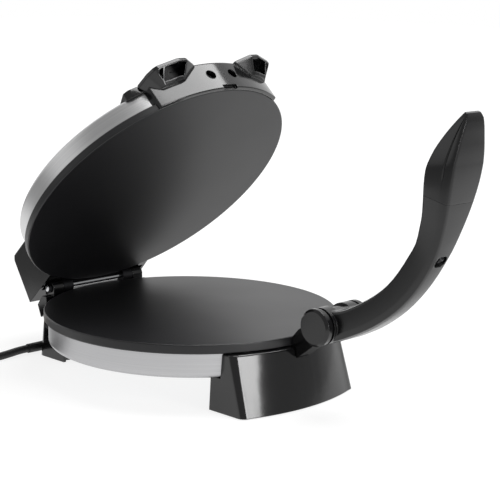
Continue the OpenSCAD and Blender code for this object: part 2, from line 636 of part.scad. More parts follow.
module lid_front_cover() color("#1e1e20") lid_place() difference() {
    union() {
        intersection() {
            cover_skin();
            union() {
                // top with the concave rear edge and the two horns
                translate([0, 0, shoulder_z - 3]) linear_extrude(20) polygon(concat(
                    [[-horn_rim.x, horn_rim.y], [-horn_rim.x + 2.5, horn_rim.y - 4],
                    [-cover_half, 20 - plate_r], [-cover_half, -plate_r - 23],
                    [cover_half, -plate_r - 23], [cover_half, 20 - plate_r],
                    [horn_rim.x - 2.5, horn_rim.y - 4], [horn_rim.x, horn_rim.y], horn_tip],
                    [for (t = span(16)) let (x = lerp(horn_tip.x - 1, 1 - horn_tip.x, t))
                        [x, 21 - plate_r + 25 * pow(abs(x) / horn_tip.x, 1.8)]],
                    [[-horn_tip.x, horn_tip.y]]));
                translate([-cover_half, -plate_r - 23, face_z - 1])
                    cube([2 * cover_half, 48, 40]);
            }
        }
        mirrored([1, 0, 0]) ear_body();
    }
    lid_volume(seat);
    // the room between the wall and the lid's band
    difference() {
        ring_cut(lid_r + 1, cover_out - cover_wall, band_z + 1.5, shoulder_z - 2);
        translate([-plate_d, 17 - plate_r, 0]) cube([2 * plate_d, 2 * plate_d, 200]);
        mirrored([1, 0, 0]) translate([cover_half - cover_wall, -plate_d, 0])
            cube([50, plate_d, 200]);
        mirrored([1, 0, 0]) at_cover_screw() rotate([90, 0, 0])
            translate([0, 0, -10]) cylinder(r = 4.5, h = 20);
    }
    mirrored([1, 0, 0]) difference() {
        ear_hollow();
        ear_gusset(8.4);
        ear_gusset(36);
    }
    // the two round holes and the small notch in the lip
    mirrored([1, 0, 0]) translate([hole_x, -plate_r + 2, hole_z]) rotate([90, 0, 0])
        cylinder(r = hole_r, h = 20);
    translate([-7.8, -cover_out - 2, face_z - 1]) cube([15.6, 2 + cover_wall - 0.5, 4.2]);
    mirrored([1, 0, 0]) cover_screw_cut();
}
// Cover screws go in from the front, deep in the two round holes
module cover_screw_cut() at_cover_screw() rotate([90, 0, 0]) translate([0, 0, -8.5])
    cylinder(r = screw_r + running, h = 20);
module at_cover_screw() translate([hole_x, -lid_r - 2.6, hole_z]) children();
module front_cover_screws() color("silver") lid_place() mirrored([1, 0, 0]) at_cover_screw()
    rotate([90, 0, 0]) {
        translate([0, 0, -0.6]) cylinder(r = 2.9, h = 1.4);
        translate([0, 0, -7.5]) cylinder(r = screw_r, h = 8);
    }

// ---------- control housing ----------

house_wall = 2.6;
house_half = 59.5;
front_R = 57;
front_y = hinge_y - 27.4;
panel_t = 1.4;
knob_y = hinge_y - 33.4;
lens_y = hinge_y + 3.6;
house_screw = [house_half - 19.5, hinge_y - 30.4, 0];

// One level of the housing: a half round front and slightly flared sides
function house_ring(z, inset) = let (
        f = (panel_z - z) / (panel_z - housing_floor),
        w = house_half + 2 * f - inset, R = front_R + 1.5 * f - inset,
        back = lerp(housing_top_back, housing_back, (edge_z - z) / (edge_z - housing_floor)) - inset)
    [for (p = concat([[-w, back]], arc([0, front_y], R, 180, 360, 28), [[w, back]]))
        [p.x, p.y, z]];
function house_cap(z, inset, back) = [for (p = house_ring(z, inset))
    [p.x, min(p.y, back), p.z]];

module housing_block(inset, top) loft([house_ring(housing_floor + inset, inset),
    house_ring(edge_z, inset), house_cap(top - 1.2, inset, housing_top_back - 3 - inset),
    house_cap(top, inset + 1.2, housing_top_back - 4 - inset)]);

module control_housing() color("#1a1a1c") lid_place() difference() {
    housing_block(0, panel_z);
    difference() {
        housing_block(house_wall, panel_z - house_wall);
        mirrored([1, 0, 0]) housing_boss();
    }
    lid_volume(seat);
    along_x(-house_half + 2.5, house_half - 2.5, lug_r + 1.5, hinge_y, hinge_z);
    // the way in for the hinge bracket
    translate([-knuckle_out - 0.5, bracket_y - 20, housing_floor - 1])
        cube([2 * knuckle_out + 1, 20 + hinge_y + lug_r - bracket_y + 0.5, house_wall + 5]);
    // seat of the panel
    translate([0, 0, panel_z - panel_t]) linear_extrude(5) polygon(panel_plan(0));
    translate([0, knob_y, panel_z - 10]) cylinder(r = 5 + running, h = 20);
    lens_spots() translate([0, 0, panel_z - 10]) linear_extrude(20)
        polygon(obround(lens_l + 2 * seat, lens_w + 2 * seat));
    mirrored([1, 0, 0]) housing_screw_cut();
}
module housing_boss() translate(house_screw) translate([0, 0, shoulder_z])
    cylinder(r = 4.5, h = panel_z - shoulder_z);
module housing_screw_cut() translate(house_screw) translate([0, 0, shoulder_z - 12])
    cylinder(r = screw_r + running, h = 22);
module housing_screws() color("silver") lid_place() mirrored([1, 0, 0]) translate(house_screw) {
    translate([0, 0, shoulder_z - 3.6]) cylinder(r = 3, h = 2);
    translate([0, 0, shoulder_z - 2]) cylinder(r = screw_r, h = 11);
}

function panel_plan(inset) = let (m = 3.4 + inset) concat(
    [[-house_half + m + 0.3, housing_top_back - 7 - inset]],
    arc([0, front_y], front_R - m, 180, 360, 28),
    [[house_half - m - 0.3, housing_top_back - 7 - inset]]);
module lens_spots() mirrored([1, 0, 0]) translate([lens_spacing / 2, lens_y, 0]) children();

module control_panel() color("#3a3a3c") lid_place() difference() {
    translate([0, 0, panel_z - panel_t + 0.05]) linear_extrude(panel_t) polygon(panel_plan(seat));
    translate([0, knob_y, panel_z - 10]) cylinder(r = 5 + running, h = 20);
    lens_spots() translate([0, 0, panel_z - 10]) linear_extrude(20)
        polygon(obround(lens_l + 2 * seat, lens_w + 2 * seat));
}

module lens() {
    translate([0, 0, panel_z - 6]) linear_extrude(6.6) polygon(obround(lens_l, lens_w));
    translate([0, 0, panel_z + 0.6]) linear_extrude(0.7) polygon(obround(lens_l - 1.6, lens_w - 1.6));
    translate([0, 0, panel_z - 7.2]) linear_extrude(1.4) polygon(obround(lens_l + 4, lens_w + 3));
}
module green_lens() color("#5fe0b0") lid_place() translate([-lens_spacing / 2, lens_y, 0]) lens();
module red_lens() color("#b01030") lid_place() translate([lens_spacing / 2, lens_y, 0]) lens();

board_z = panel_z - 17;
module lamp_board() color("#b89050") lid_place() difference() {
    translate([-lens_spacing / 2 - 8, lens_y - 6, board_z]) cube([lens_spacing + 16, 14, 1.6]);
    lens_spots() mirrored([1, 0, 0]) translate([2, 0, board_z - 1]) cylinder(r = 0.5, h = 4, $fn = 16);
}
module indicator_lamps() color("orange") lid_place() lens_spots() {
    translate([0, 0, board_z + 1.7]) cylinder(r = 2.6, h = 5);
    translate([0, 0, board_z + 6.7]) sphere(r = 2.6, $fn = 32);
}

thermo_r = 15;
module thermostat() color("#8a7a60") lid_place() translate([0, knob_y, 0]) difference() {
    union() {
        translate([0, 0, panel_z - 15]) cylinder(r = thermo_r, h = 12.2);
        translate([-7, -thermo_r - 5, panel_z - 13]) cube([14, 2 * thermo_r + 10, 1.6]);
        translate([0, 0, panel_z - 4]) cylinder(r = 5, h = 6.4);
    }
    translate([0, 0, panel_z - 12]) cylinder(r = 3 + running, h = 20);
}
module thermostat_nut() color("silver") lid_place() translate([0, knob_y, panel_z + 0.1])
    difference() {
        cylinder(r = 7, h = 2.2, $fn = 6);
        translate([0, 0, -1]) cylinder(r = 5 + running, h = 5);
    }
module thermal_cutout() color("#d8d0c0") lid_place()
    translate([0, stud_ring / 3, upper_reflector_z]) {
    translate([0, 0, 0.1]) cylinder(r = 8, h = 5);
    translate([-12, -4, 0.1]) cube([24, 8, 1]);
}

// ---------- knob ----------

flute_count = 18;
module thermostat_shaft() color("silver") lid_place() translate([0, knob_y, 0]) difference() {
    translate([0, 0, panel_z - 11.5]) cylinder(r = 3, h = 11.5 + knob_h - 6);
    translate([-5, 1.8, panel_z + 5]) cube([10, 5, knob_h]);
}
module knob_skirt() color("#0e0e10") lid_place() translate([0, knob_y, 0]) difference() {
    translate([0, 0, panel_z + 0.4]) rotate_extrude() polygon([[0, 0], [knob_skirt_d / 2, 0],
        [knob_skirt_d / 2, 1.2], [knob_skirt_d / 2 - 1.2, 2.4], [knob_cap_d / 2 + 1.4, 3.2],
        [knob_cap_d / 2 + 0.9, knob_h - 3.4], [0, knob_h - 3.4]]);
    translate([0, 0, panel_z - 1]) cylinder(r = 8.6, h = 5.4);
    difference() {
        translate([0, 0, panel_z]) cylinder(r = 3 + running, h = knob_h - 5.7);
        translate([-5, 1.8 + running, panel_z + 5]) cube([10, 5, knob_h]);
    }
    for (i = [0:flute_count - 1]) rotate(i * 360 / flute_count)
        translate([knob_cap_d / 2 + 2, 0, panel_z + 5]) cylinder(r = 1.5, h = knob_h);
}
module knob_cap() color("gainsboro") lid_place() translate([0, knob_y, 0]) difference() {
    translate([0, 0, panel_z + knob_h - 2.95]) rotate_extrude() polygon([[0, 0], [knob_cap_d / 2, 0],
        [knob_cap_d / 2, 1.8], [knob_cap_d / 2 - 1, 2.95], [knob_cap_d / 2 - 2.6, 2.95],
        [knob_cap_d / 2 - 3, 2.65], [0, 2.65]]);
    translate([0, -knob_cap_d / 2 + 5, panel_z + knob_h - 1]) cylinder(r = 0.9, h = 3, $fn = 24);
}

// ---------- lid hinge bracket ----------

knuckle_in = 30;
knuckle_out = 41;
bracket_y = plate_r + 0.8;
bracket_t = 2;
module hinge_screw_axis() translate([24, 0, band_z + 9]) children();
module hinge_screw_cut() hinge_screw_axis() rotate([-90, 0, 0])
    translate([0, 0, lid_r - 12]) cylinder(r = 1.6, h = 40);
module lid_hinge_bracket() color("#909094") lid_place() difference() {
    union() {
        translate([-knuckle_out, bracket_y, hinge_z + 2])
            cube([2 * knuckle_out, bracket_t, shoulder_z - hinge_z - 4]);
        mirrored([1, 0, 0]) {
            along_x(knuckle_in, knuckle_out, lug_r, hinge_y, hinge_z);
            translate([knuckle_in, bracket_y, hinge_z])
                cube([knuckle_out - knuckle_in, hinge_y + lug_r - bracket_y, 6]);
            hinge_screw_axis() rotate([-90, 0, 0]) translate([0, 0, lid_r - 8])
                cylinder(r = 5, h = bracket_y - lid_r + 8);
        }
    }
    lid_volume(seat);
    along_x(-knuckle_out - 1, knuckle_out + 1, hinge_pin_d / 2 + running, hinge_y, hinge_z);
    mirrored([1, 0, 0]) hinge_screw_cut();
}
module hinge_screws() color("dimgray") lid_place() mirrored([1, 0, 0]) hinge_screw_axis()
    rotate([-90, 0, 0]) {
        translate([0, 0, bracket_y + bracket_t + 0.1]) cylinder(r = 3, h = 2.2);
        translate([0, 0, lid_r - 9]) cylinder(r = screw_r, h = bracket_y + bracket_t - lid_r + 10);
    }

// ---------- mains entry ----------

gland_x = -45;
gland_z = 5.4;
boot_r = 4.6;
boot_end_r = cord_d / 2 + 0.7;
boot_y = plate_r + 12;
boot_tip_x = -72;
rear_wall_y = plate_r + 4;
module gland_hole() translate([gland_x, rear_wall_y - 12, gland_z]) rotate([-90, 0, 0])
    cylinder(r = boot_r + seat, h = 30);
// The moulded boot: out through the rear wall, round the bend and tapering along the foot
boot_bend = 5;
boot_route = concat([[gland_x, rear_wall_y - 5, gland_z]],
    [for (a = [0:15:90]) [gland_x - boot_bend * (1 - cos(a)), boot_y - boot_bend * (1 - sin(a)),
        gland_z]],
    [for (t = [0.3, 0.65, 1]) [lerp(gland_x - boot_bend, boot_tip_x, t), boot_y, gland_z]]);
module strain_relief() color("#1a1a1a") base_place() {
    m = len(boot_route) - 1;
    loft([for (i = [0:m]) let (t = tangent(boot_route, i), s = unit(cross([0, 0, 1], t)),
            r = lerp(boot_r, boot_end_r, max(0, (i - 4) / (m - 4))))
        [for (k = [0:15]) boot_route[i] + r * (s * cos(22.5 * k) + [0, 0, sin(22.5 * k)])]]);
    translate([gland_x, rear_wall_y - 7, gland_z + 1.6]) rotate([-90, 0, 0])
        cylinder(r = boot_r + 1.6, h = 2);
}
module terminal_block() color("ivory") base_place() difference() {
    translate([-15, rear_wall_y - 22, base_lift - 15]) cube([30, 14, 11.9]);
    for (i = [-1:1]) translate([i * 9, rear_wall_y - 15, base_lift - 16]) cylinder(r = 2, h = 8, $fn = 24);
}

// The cord's route on the table, chosen by hand, in the plate axis's frame
cord_r = cord_d / 2;
lead_points = [[boot_tip_x, boot_y, gland_z], [-77, 139, 5.4], [-84, 139, 5.1], [-92, 139, 4.4],
    [-102, 139, 3.7], [-112, 139, 3.5], [-120, 139, 3.5], [-128, 139, 3.5]];
module cord_lead() color("#1b1b1b") base_place() tube(lead_points, cord_d, 8, 22.5);

// A coil of two layers: the first spirals in, the second spirals out on top of it
turns_in = 2;
turns_out = 1.5;
coil_R = 49.5;
coil_pitch = cord_d + 0.7;
ring_count = 24;
coil_start = lead_points[len(lead_points) - 1] - [cord_d, 0, 0];
function coil_r(s) = s < turns_in ? coil_R - coil_pitch * s
    : coil_R - coil_pitch * turns_in + coil_pitch * (s - turns_in);
function climb(s) = let (t = min(1, max(0, (s - turns_in + 0.25) / 0.5))) t * t * (3 - 2 * t);
function coil_point(s) = [
    coil_start.x - coil_r(s) * sin(360 * s),
    coil_start.y + coil_R - coil_r(s) * cos(360 * s),
    cord_r + coil_pitch * climb(s)];
coil_steps = ring_count * (turns_in + turns_out);
coil_points = [for (i = [0:coil_steps]) coil_point(i / ring_count)];
coil_end = coil_points[coil_steps];
coil_route = concat([coil_start + [cord_d, 0, 0]], coil_points, [coil_end + [cord_d, 0, 0]]);
coil_gap = min([for (i = [0:coil_steps - 8], j = [i + 8:coil_steps])
    norm(coil_points[i] - coil_points[j])]) - cord_d;
echo(coil_least_gap = coil_gap);
module cord_coil() color("#1b1b1b") base_place() tube(coil_route, cord_d, 6, 0);

tail_l = 26;
plug_z = 12;
tail_start = coil_end + [cord_d, 0, 0];
tail_points = concat([tail_start], [for (t = span(4)) tail_start + [3 + (tail_l - 6) * t, 0,
    (plug_z - tail_start.z) * t * t * (3 - 2 * t)]], [tail_start + [tail_l, 0, plug_z - tail_start.z]]);
module cord_tail() color("#1b1b1b") base_place() tube(tail_points, cord_d, 8, 22.5);

// A moulded plug with two flat blades and a round earth pin, lying on its side
plug_l = 38;
plug_end = tail_points[len(tail_points) - 1];
module plug_body() color("#1a1a1a") base_place() translate(plug_end) rotate([90, 0, 90])
    loft([for (s = [[0, 4.4, 4.4], [10, 6, 6.4], [16, 11, 9.5], [22, 13.5, 11.4],
        [plug_l - 1.5, 14, 11.8], [plug_l, 13, 10.8]])
        [for (p = rounded([[-s[1], -s[2]], [s[1], -s[2]], [s[1], s[2]], [-s[1], s[2]]],
            [for (i = [0:3]) min(s[1], s[2]) * 0.55], 4)) [p.x, p.y, s[0]]]]);
module plug_blades() color("goldenrod") base_place() translate(plug_end)
    for (s = [-1, 1]) translate([plug_l, s * 6.35 - 0.75, -6.15]) cube([16, 1.5, 6.3]);
module plug_earth_pin() color("goldenrod") base_place()
    translate(plug_end + [plug_l, 0, 6]) rotate([0, 90, 0]) {
        cylinder(r = 2.38, h = 17);
        translate([0, 0, 17]) cylinder(r1 = 2.38, r2 = 1.4, h = 2.2);
    }

base_pan();
bottom_cover();
bottom_screws();
lower_plate();
lower_element();
lower_reflector();
lower_studs();
front_foot();
rear_foot();
foot_pads();
foot_screws();
hinge_pin();
hinge_clips();
pivot_bracket();
pivot_bolt();
pivot_caps();
pivot_washers();
terminal_block();
strain_relief();
cord_lead();
cord_coil();
cord_tail();
plug_body();
plug_blades();
plug_earth_pin();
lid_cover();
upper_plate();
upper_element();
upper_reflector();
upper_studs();
lid_front_cover();
front_cover_screws();
control_housing();
housing_screws();
control_panel();
lid_hinge_bracket();
hinge_screws();
thermostat();
thermostat_nut();
indicator_lamps();
lamp_board();
green_lens();
red_lens();
thermal_cutout();
thermostat_shaft();
knob_skirt();
knob_cap();
arm_lower();
arm_grip();
arm_bushes();
arm_screw();
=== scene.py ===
import math

import bpy
from mathutils import Matrix, Vector


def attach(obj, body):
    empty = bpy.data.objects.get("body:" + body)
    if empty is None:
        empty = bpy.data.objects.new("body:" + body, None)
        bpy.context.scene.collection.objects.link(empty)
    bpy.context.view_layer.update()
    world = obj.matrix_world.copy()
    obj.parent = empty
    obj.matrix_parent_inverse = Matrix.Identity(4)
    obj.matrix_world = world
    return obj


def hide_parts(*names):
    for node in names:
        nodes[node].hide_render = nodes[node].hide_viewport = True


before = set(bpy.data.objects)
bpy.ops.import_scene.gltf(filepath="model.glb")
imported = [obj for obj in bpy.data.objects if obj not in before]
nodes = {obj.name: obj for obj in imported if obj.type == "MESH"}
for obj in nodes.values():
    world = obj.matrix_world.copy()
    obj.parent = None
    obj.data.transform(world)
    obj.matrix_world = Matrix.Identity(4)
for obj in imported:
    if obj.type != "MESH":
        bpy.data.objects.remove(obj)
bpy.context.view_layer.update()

# ---------------------------------------------------------------------------
# The camera stands to the left in front, a little over the plates, with a long
# lens, as for a catalogue picture. It leans by about one degree.
camera_azimuth, camera_elevation, camera_roll = map(math.radians, (-45.63, 11.31, 1.05))
camera_place = Vector((-0.8443, -0.8380, 0.3557))
back = Vector((math.sin(camera_azimuth) * math.cos(camera_elevation),
               -math.cos(camera_azimuth) * math.cos(camera_elevation),
               math.sin(camera_elevation)))
level_right = Vector((math.cos(camera_azimuth), math.sin(camera_azimuth), 0))
level_up = back.cross(level_right)
right = level_right * math.cos(camera_roll) + level_up * math.sin(camera_roll)
up = level_up * math.cos(camera_roll) - level_right * math.sin(camera_roll)
lens = bpy.data.cameras.new("catalogue_camera")
lens.lens = 104.61
lens.sensor_width = 36
camera = bpy.data.objects.new("catalogue_camera", lens)
camera.matrix_world = Matrix((
    (right.x, up.x, back.x, camera_place.x),
    (right.y, up.y, back.y, camera_place.y),
    (right.z, up.z, back.z, camera_place.z),
    (0, 0, 0, 1)))
bpy.context.collection.objects.link(camera)
bpy.context.scene.camera = camera
bpy.context.scene.view_settings.view_transform = "Standard"


# ---------------------------------------------------------------------------
# The studio: a white sweep behind the maker, a room in half light behind the
# camera, a pale floor that keeps the shadow, and two soft lamps.
def linear(code):
    """An sRGB colour, written as six hex digits, in the linear values that shaders take."""
    values = [int(code[i:i + 2], 16) / 255 for i in (1, 3, 5)]
    return [v / 12.92 if v <= 0.04045 else ((v + 0.055) / 1.055) ** 2.4 for v in values] + [1.0]


def add(tree, kind, settings=None, sockets=None):
    """One node of a tree, with its settings, its values and its links."""
    made = tree.nodes.new(kind)
    for name, value in (settings or {}).items():
        setattr(made, name, value)
    for name, value in (sockets or {}).items():
        if isinstance(value, bpy.types.NodeSocket):
            tree.links.new(value, made.inputs[name])
        else:
            made.inputs[name].default_value = value
    return made


soft_step = {"interpolation_type": "SMOOTHSTEP"}
larger, smaller = {"operation": "MAXIMUM"}, {"operation": "MINIMUM"}
times, along = {"operation": "MULTIPLY"}, {"operation": "DOT_PRODUCT"}
white = linear("#ffffff")
room_level, dim_level = 0.36, 0.32
sweep_side, card_side = (0.70, 0.71, 0.10), (-0.741, 0.579, 0.342)

world = bpy.data.worlds.new("white_studio")
bpy.context.scene.world = world
world.use_nodes = True
sky = world.node_tree
sky.nodes.clear()
seen = add(sky, "ShaderNodeLightPath")
through = add(sky, "ShaderNodeMath", larger, {
    0: seen.outputs["Is Camera Ray"], 1: seen.outputs["Is Transmission Ray"]})
# what the shiny faces see: the sweep behind, the dim room in front, and a white card
# at the left, a little behind, which lights the flared side of the grip
way = add(sky, "ShaderNodeTexCoord")
behind = add(sky, "ShaderNodeVectorMath", along, {0: way.outputs["Generated"], 1: sweep_side})
sweep_level = add(sky, "ShaderNodeMapRange", soft_step, {
    "Value": behind.outputs["Value"], "From Min": 0.1, "From Max": 0.75,
    "To Min": dim_level, "To Max": 1.0})
beside = add(sky, "ShaderNodeVectorMath", along, {0: way.outputs["Generated"], 1: card_side})
card_level = add(sky, "ShaderNodeMapRange", soft_step, {
    "Value": beside.outputs["Value"], "From Min": 0.90, "From Max": 0.98,
    "To Min": 0.0, "To Max": 1.0})
lit_level = add(sky, "ShaderNodeMath", larger, {
    0: sweep_level.outputs["Result"], 1: card_level.outputs["Result"]})
seen_level = add(sky, "ShaderNodeMath", times, {
    0: seen.outputs["Is Glossy Ray"], 1: lit_level.outputs[0]})
white_level = add(sky, "ShaderNodeMath", larger, {0: through.outputs[0], 1: seen_level.outputs[0]})
level = add(sky, "ShaderNodeMath", larger, {0: white_level.outputs[0], 1: room_level})
sweep = add(sky, "ShaderNodeBackground", sockets={"Color": white, "Strength": level.outputs[0]})
add(sky, "ShaderNodeOutputWorld", sockets={"Surface": sweep.outputs[0]})

floor_half = 6
floor_mesh = bpy.data.meshes.new("pale_floor")
floor_mesh.from_pydata(
    [(-floor_half, -floor_half, 0), (floor_half, -floor_half, 0),
     (floor_half, floor_half, 0), (-floor_half, floor_half, 0)], [], [(0, 1, 2, 3)])
pale_floor = bpy.data.objects.new("pale_floor", floor_mesh)
bpy.context.collection.objects.link(pale_floor)

# Matt white sweep paint: the sweep's own white takes over away from the maker, so
# that no horizon shows. The shiny faces see its paper end half a metre away at the
# left, in front and in the far left corner.
floor_paint = bpy.data.materials.new("matt_white_sweep_paint")
floor_paint.use_nodes = True
paper = floor_paint.node_tree
paper.nodes.clear()
floor_seen = add(paper, "ShaderNodeLightPath")
floor_clear = add(paper, "ShaderNodeMath", larger, {
    0: floor_seen.outputs["Is Camera Ray"], 1: floor_seen.outputs["Is Transmission Ray"]})
floor_rays = add(paper, "ShaderNodeMath", larger, {
    0: floor_clear.outputs[0], 1: floor_seen.outputs["Is Glossy Ray"]})
floor_place = add(paper, "ShaderNodeTexCoord")
paper_at = add(paper, "ShaderNodeSeparateXYZ", sockets={"Vector": floor_place.outputs["Object"]})
floor_reach = add(paper, "ShaderNodeVectorMath", {"operation": "LENGTH"}, {
    0: floor_place.outputs["Object"]})
floor_level = add(paper, "ShaderNodeMapRange", soft_step, {
    "Value": floor_reach.outputs["Value"], "From Min": 0.35, "From Max": 1.3,
    "To Min": 0.83, "To Max": 1.0})
corner_way = add(paper, "ShaderNodeVectorMath", along, {
    0: floor_place.outputs["Object"], 1: (0.8, -0.6, 0)})
ends = []
for place, dark_from, light_from, dark in (
        (paper_at.outputs["X"], -0.55, -0.28, 0.25),
        (paper_at.outputs["Y"], -0.80, -0.42, 0.25),
        (corner_way.outputs["Value"], -0.72, -0.42, 0.2)):
    ends.append(add(paper, "ShaderNodeMapRange", soft_step, {
        "Value": place, "From Min": dark_from, "From Max": light_from,
        "To Min": dark, "To Max": 1.0}))
two_ends = add(paper, "ShaderNodeMath", smaller, {
    0: ends[0].outputs["Result"], 1: ends[1].outputs["Result"]})
paper_end = add(paper, "ShaderNodeMath", smaller, {
    0: two_ends.outputs[0], 1: ends[2].outputs["Result"]})
paper_seen = add(paper, "ShaderNodeMath", larger, {
    0: floor_clear.outputs[0], 1: paper_end.outputs[0]})
paper_level = add(paper, "ShaderNodeMath", times, {
    0: floor_level.outputs["Result"], 1: paper_seen.outputs[0]})
floor_matt = add(paper, "ShaderNodeBsdfDiffuse", sockets={"Color": linear("#a8a8a8")})
floor_shade = add(paper, "ShaderNodeBsdfDiffuse", sockets={"Color": linear("#8a8a8a")})
floor_white = add(paper, "ShaderNodeEmission", sockets={
    "Color": white, "Strength": paper_level.outputs[0]})
floor_bright = add(paper, "ShaderNodeAddShader", sockets={
    0: floor_shade.outputs[0], 1: floor_white.outputs[0]})
floor_mix = add(paper, "ShaderNodeMixShader", sockets={
    0: floor_rays.outputs[0], 1: floor_matt.outputs[0], 2: floor_bright.outputs[0]})
add(paper, "ShaderNodeOutputMaterial", sockets={"Surface": floor_mix.outputs[0]})
floor_mesh.materials.append(floor_paint)

for lamp_name, place, aim, wide, high, watts in (
        ("overhead_bank", (0.33, -0.15, 1.55), (0, -0.05, 0.2), 0.75, 1.28, 19),
        ("front_strip", (0.06, -1.75, 0.42), (0, -0.2, 0.06), 0.42, 0.85, 12)):
    lamp = bpy.data.lights.new(lamp_name, "AREA")
    lamp.shape = "RECTANGLE"
    lamp.size, lamp.size_y, lamp.energy = wide, high, watts
    stand = bpy.data.objects.new(lamp_name, lamp)
    stand.location = place
    stand.rotation_euler = (Vector(aim) - Vector(place)).to_track_quat("-Z", "Y").to_euler()
    stand.visible_camera = False
    bpy.context.collection.objects.link(stand)


# ---------------------------------------------------------------------------
# The mains cord: three cores in one round rubber sheath, 7 mm thick. It lies in
# a flat coil behind the left side of the maker, as it is put away.
plate_axis_y = 0.05868  # the plates' upright axis stands this far behind the origin
cord_radius = 0.0035
boot_y = 0.139 + plate_axis_y
cord_line = [Vector((x / 1000, boot_y, z / 1000)) for x, z in (
    (-72, 5.4), (-77, 5.4), (-84, 5.1), (-92, 4.4),
    (-102, 3.7), (-112, 3.5), (-120, 3.5), (-128, 3.5))]
coil_start = Vector((-0.135, boot_y, cord_radius))
coil_radius, coil_pitch = 0.0495, 0.0077
turns_in, turns_out = 2.0, 1.5
knots_per_turn = 24
for step in range(int(knots_per_turn * (turns_in + turns_out)) + 1):
    turn = step / knots_per_turn
    radius = coil_radius - coil_pitch * (turn if turn < turns_in else 2 * turns_in - turn)
    rise = min(1, max(0, (turn - turns_in + 0.25) / 0.5))
    cord_line.append(coil_start + Vector((
        -radius * math.sin(2 * math.pi * turn),
        coil_radius - radius * math.cos(2 * math.pi * turn),
        coil_pitch * rise * rise * (3 - 2 * rise))))
tail_start = cord_line[-1] + Vector((0.007, 0, 0))
cord_line.append(tail_start)
plug_height, plug_reach = 0.012, 0.026
for share in (0, 0.25, 0.5, 0.75, 1):
    cord_line.append(tail_start + Vector((
        0.003 + 0.020 * share, 0, (plug_height - tail_start.z) * share * share * (3 - 2 * share))))
cord_line.append(tail_start + Vector((plug_reach, 0, plug_height - tail_start.z)))

cord_curve = bpy.data.curves.new("mains_cord", "CURVE")
cord_curve.dimensions = "3D"
cord_curve.bevel_depth = cord_radius
cord_curve.bevel_resolution = 5
cord_curve.use_fill_caps = True
cord_curve.resolution_u = 4
spline = cord_curve.splines.new("BEZIER")
spline.bezier_points.add(len(cord_line) - 1)
for i, (knot, point) in enumerate(zip(spline.bezier_points, cord_line)):
    before = cord_line[max(i - 1, 0)]
    after = cord_line[min(i + 1, len(cord_line) - 1)]
    heading = (after - before).normalized()
    knot.co = point
    knot.handle_left = point - heading * (point - before).length / 3
    knot.handle_right = point + heading * (after - point).length / 3
mains_cord = bpy.data.objects.new("mains_cord", cord_curve)
bpy.context.collection.objects.link(mains_cord)


def surface(name):
    """A new material with one shader; returns it, its tree, its shader and its coordinates."""
    made = bpy.data.materials.new(name)
    made.use_nodes = True
    made.node_tree.nodes.clear()
    shader = add(made.node_tree, "ShaderNodeBsdfPrincipled")
    add(made.node_tree, "ShaderNodeOutputMaterial", sockets={"Surface": shader.outputs[0]})
    coords = add(made.node_tree, "ShaderNodeTexCoord")
    return made, made.node_tree, shader, coords.outputs["Object"]


def two_toned(tree, shader, pattern, dark, light, band=(0.0, 1.0)):
    """Colours a shader from a pattern, between two close tones of the same stuff."""
    tone = add(tree, "ShaderNodeValToRGB", sockets={"Fac": pattern})
    for stop, place, code in zip(tone.color_ramp.elements, band, (dark, light)):
        stop.position = place
        stop.color = linear(code)
    tree.links.new(tone.outputs["Color"], shader.inputs["Base Color"])


# Extruded rubber sheath: satin black, with a little dust in its grain, which is about
# a millimetre wide.
sheath, tree, shader, at = surface("extruded_black_rubber_sheath")
grain = add(tree, "ShaderNodeTexNoise", sockets={
    "Vector": at, "Scale": 900.0, "Detail": 3.0, "Roughness": 0.6})
two_toned(tree, shader, grain.outputs["Fac"], "#121213", "#1f1f20")
shader.inputs["Roughness"].default_value = 0.52
dust = add(tree, "ShaderNodeBump", sockets={
    "Strength": 0.15, "Distance": 0.0003, "Height": grain.outputs["Fac"]})
tree.links.new(dust.outputs["Normal"], shader.inputs["Normal"])
cord_curve.materials.append(sheath)
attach(mains_cord, "base")
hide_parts("cord_lead", "cord_coil", "cord_tail")


# ---------------------------------------------------------------------------
# The plug and the cord's boot: black rubber moulded on the sheath, with two
# blades and a round earth pin of brass.

# Like all the frame's mouldings, castings and sheets, they come in flat facets: the
# seams are closed and the soft edges shaded smooth.
soft_shading = bpy.data.node_groups.new("soft_shading", "GeometryNodeTree")
soft_shading.interface.new_socket("Geometry", in_out="INPUT", socket_type="NodeSocketGeometry")
crease = soft_shading.interface.new_socket(
    "Crease angle", in_out="INPUT", socket_type="NodeSocketFloat")
crease.default_value = math.radians(30)
soft_shading.interface.new_socket("Geometry", in_out="OUTPUT", socket_type="NodeSocketGeometry")
given = add(soft_shading, "NodeGroupInput")
bare = add(soft_shading, "GeometryNodeRemoveAttribute", sockets={
    "Geometry": given.outputs["Geometry"], "Name": "custom_normal"})
joined = add(soft_shading, "GeometryNodeMergeByDistance", sockets={
    "Geometry": bare.outputs["Geometry"], "Distance": 0.000004})
soft = add(soft_shading, "GeometryNodeSetShadeSmooth", {"domain": "FACE"}, {
    "Geometry": joined.outputs["Geometry"], "Shade Smooth": True})
angle = add(soft_shading, "GeometryNodeInputMeshEdgeAngle")
sharp = add(soft_shading, "FunctionNodeCompare", {"operation": "GREATER_THAN"}, {
    0: angle.outputs["Unsigned Angle"], 1: given.outputs["Crease angle"]})
hard = add(soft_shading, "GeometryNodeSetShadeSmooth", {"domain": "EDGE"}, {
    "Geometry": soft.outputs["Geometry"], "Selection": sharp.outputs["Result"],
    "Shade Smooth": False})
add(soft_shading, "NodeGroupOutput", sockets={"Geometry": hard.outputs["Geometry"]})
for name, piece in nodes.items():
    if name not in ("cord_lead", "cord_coil", "cord_tail"):
        shading = piece.modifiers.new("soft_shading", "NODES")
        shading.node_group = soft_shading
        weights = piece.modifiers.new("even_light", "WEIGHTED_NORMAL")
        weights.keep_sharp = True


def dress(material, *names):
    """Gives one material to the frame's nodes of these names."""
    for name in names:
        for slot in nodes[name].material_slots:
            slot.material = material


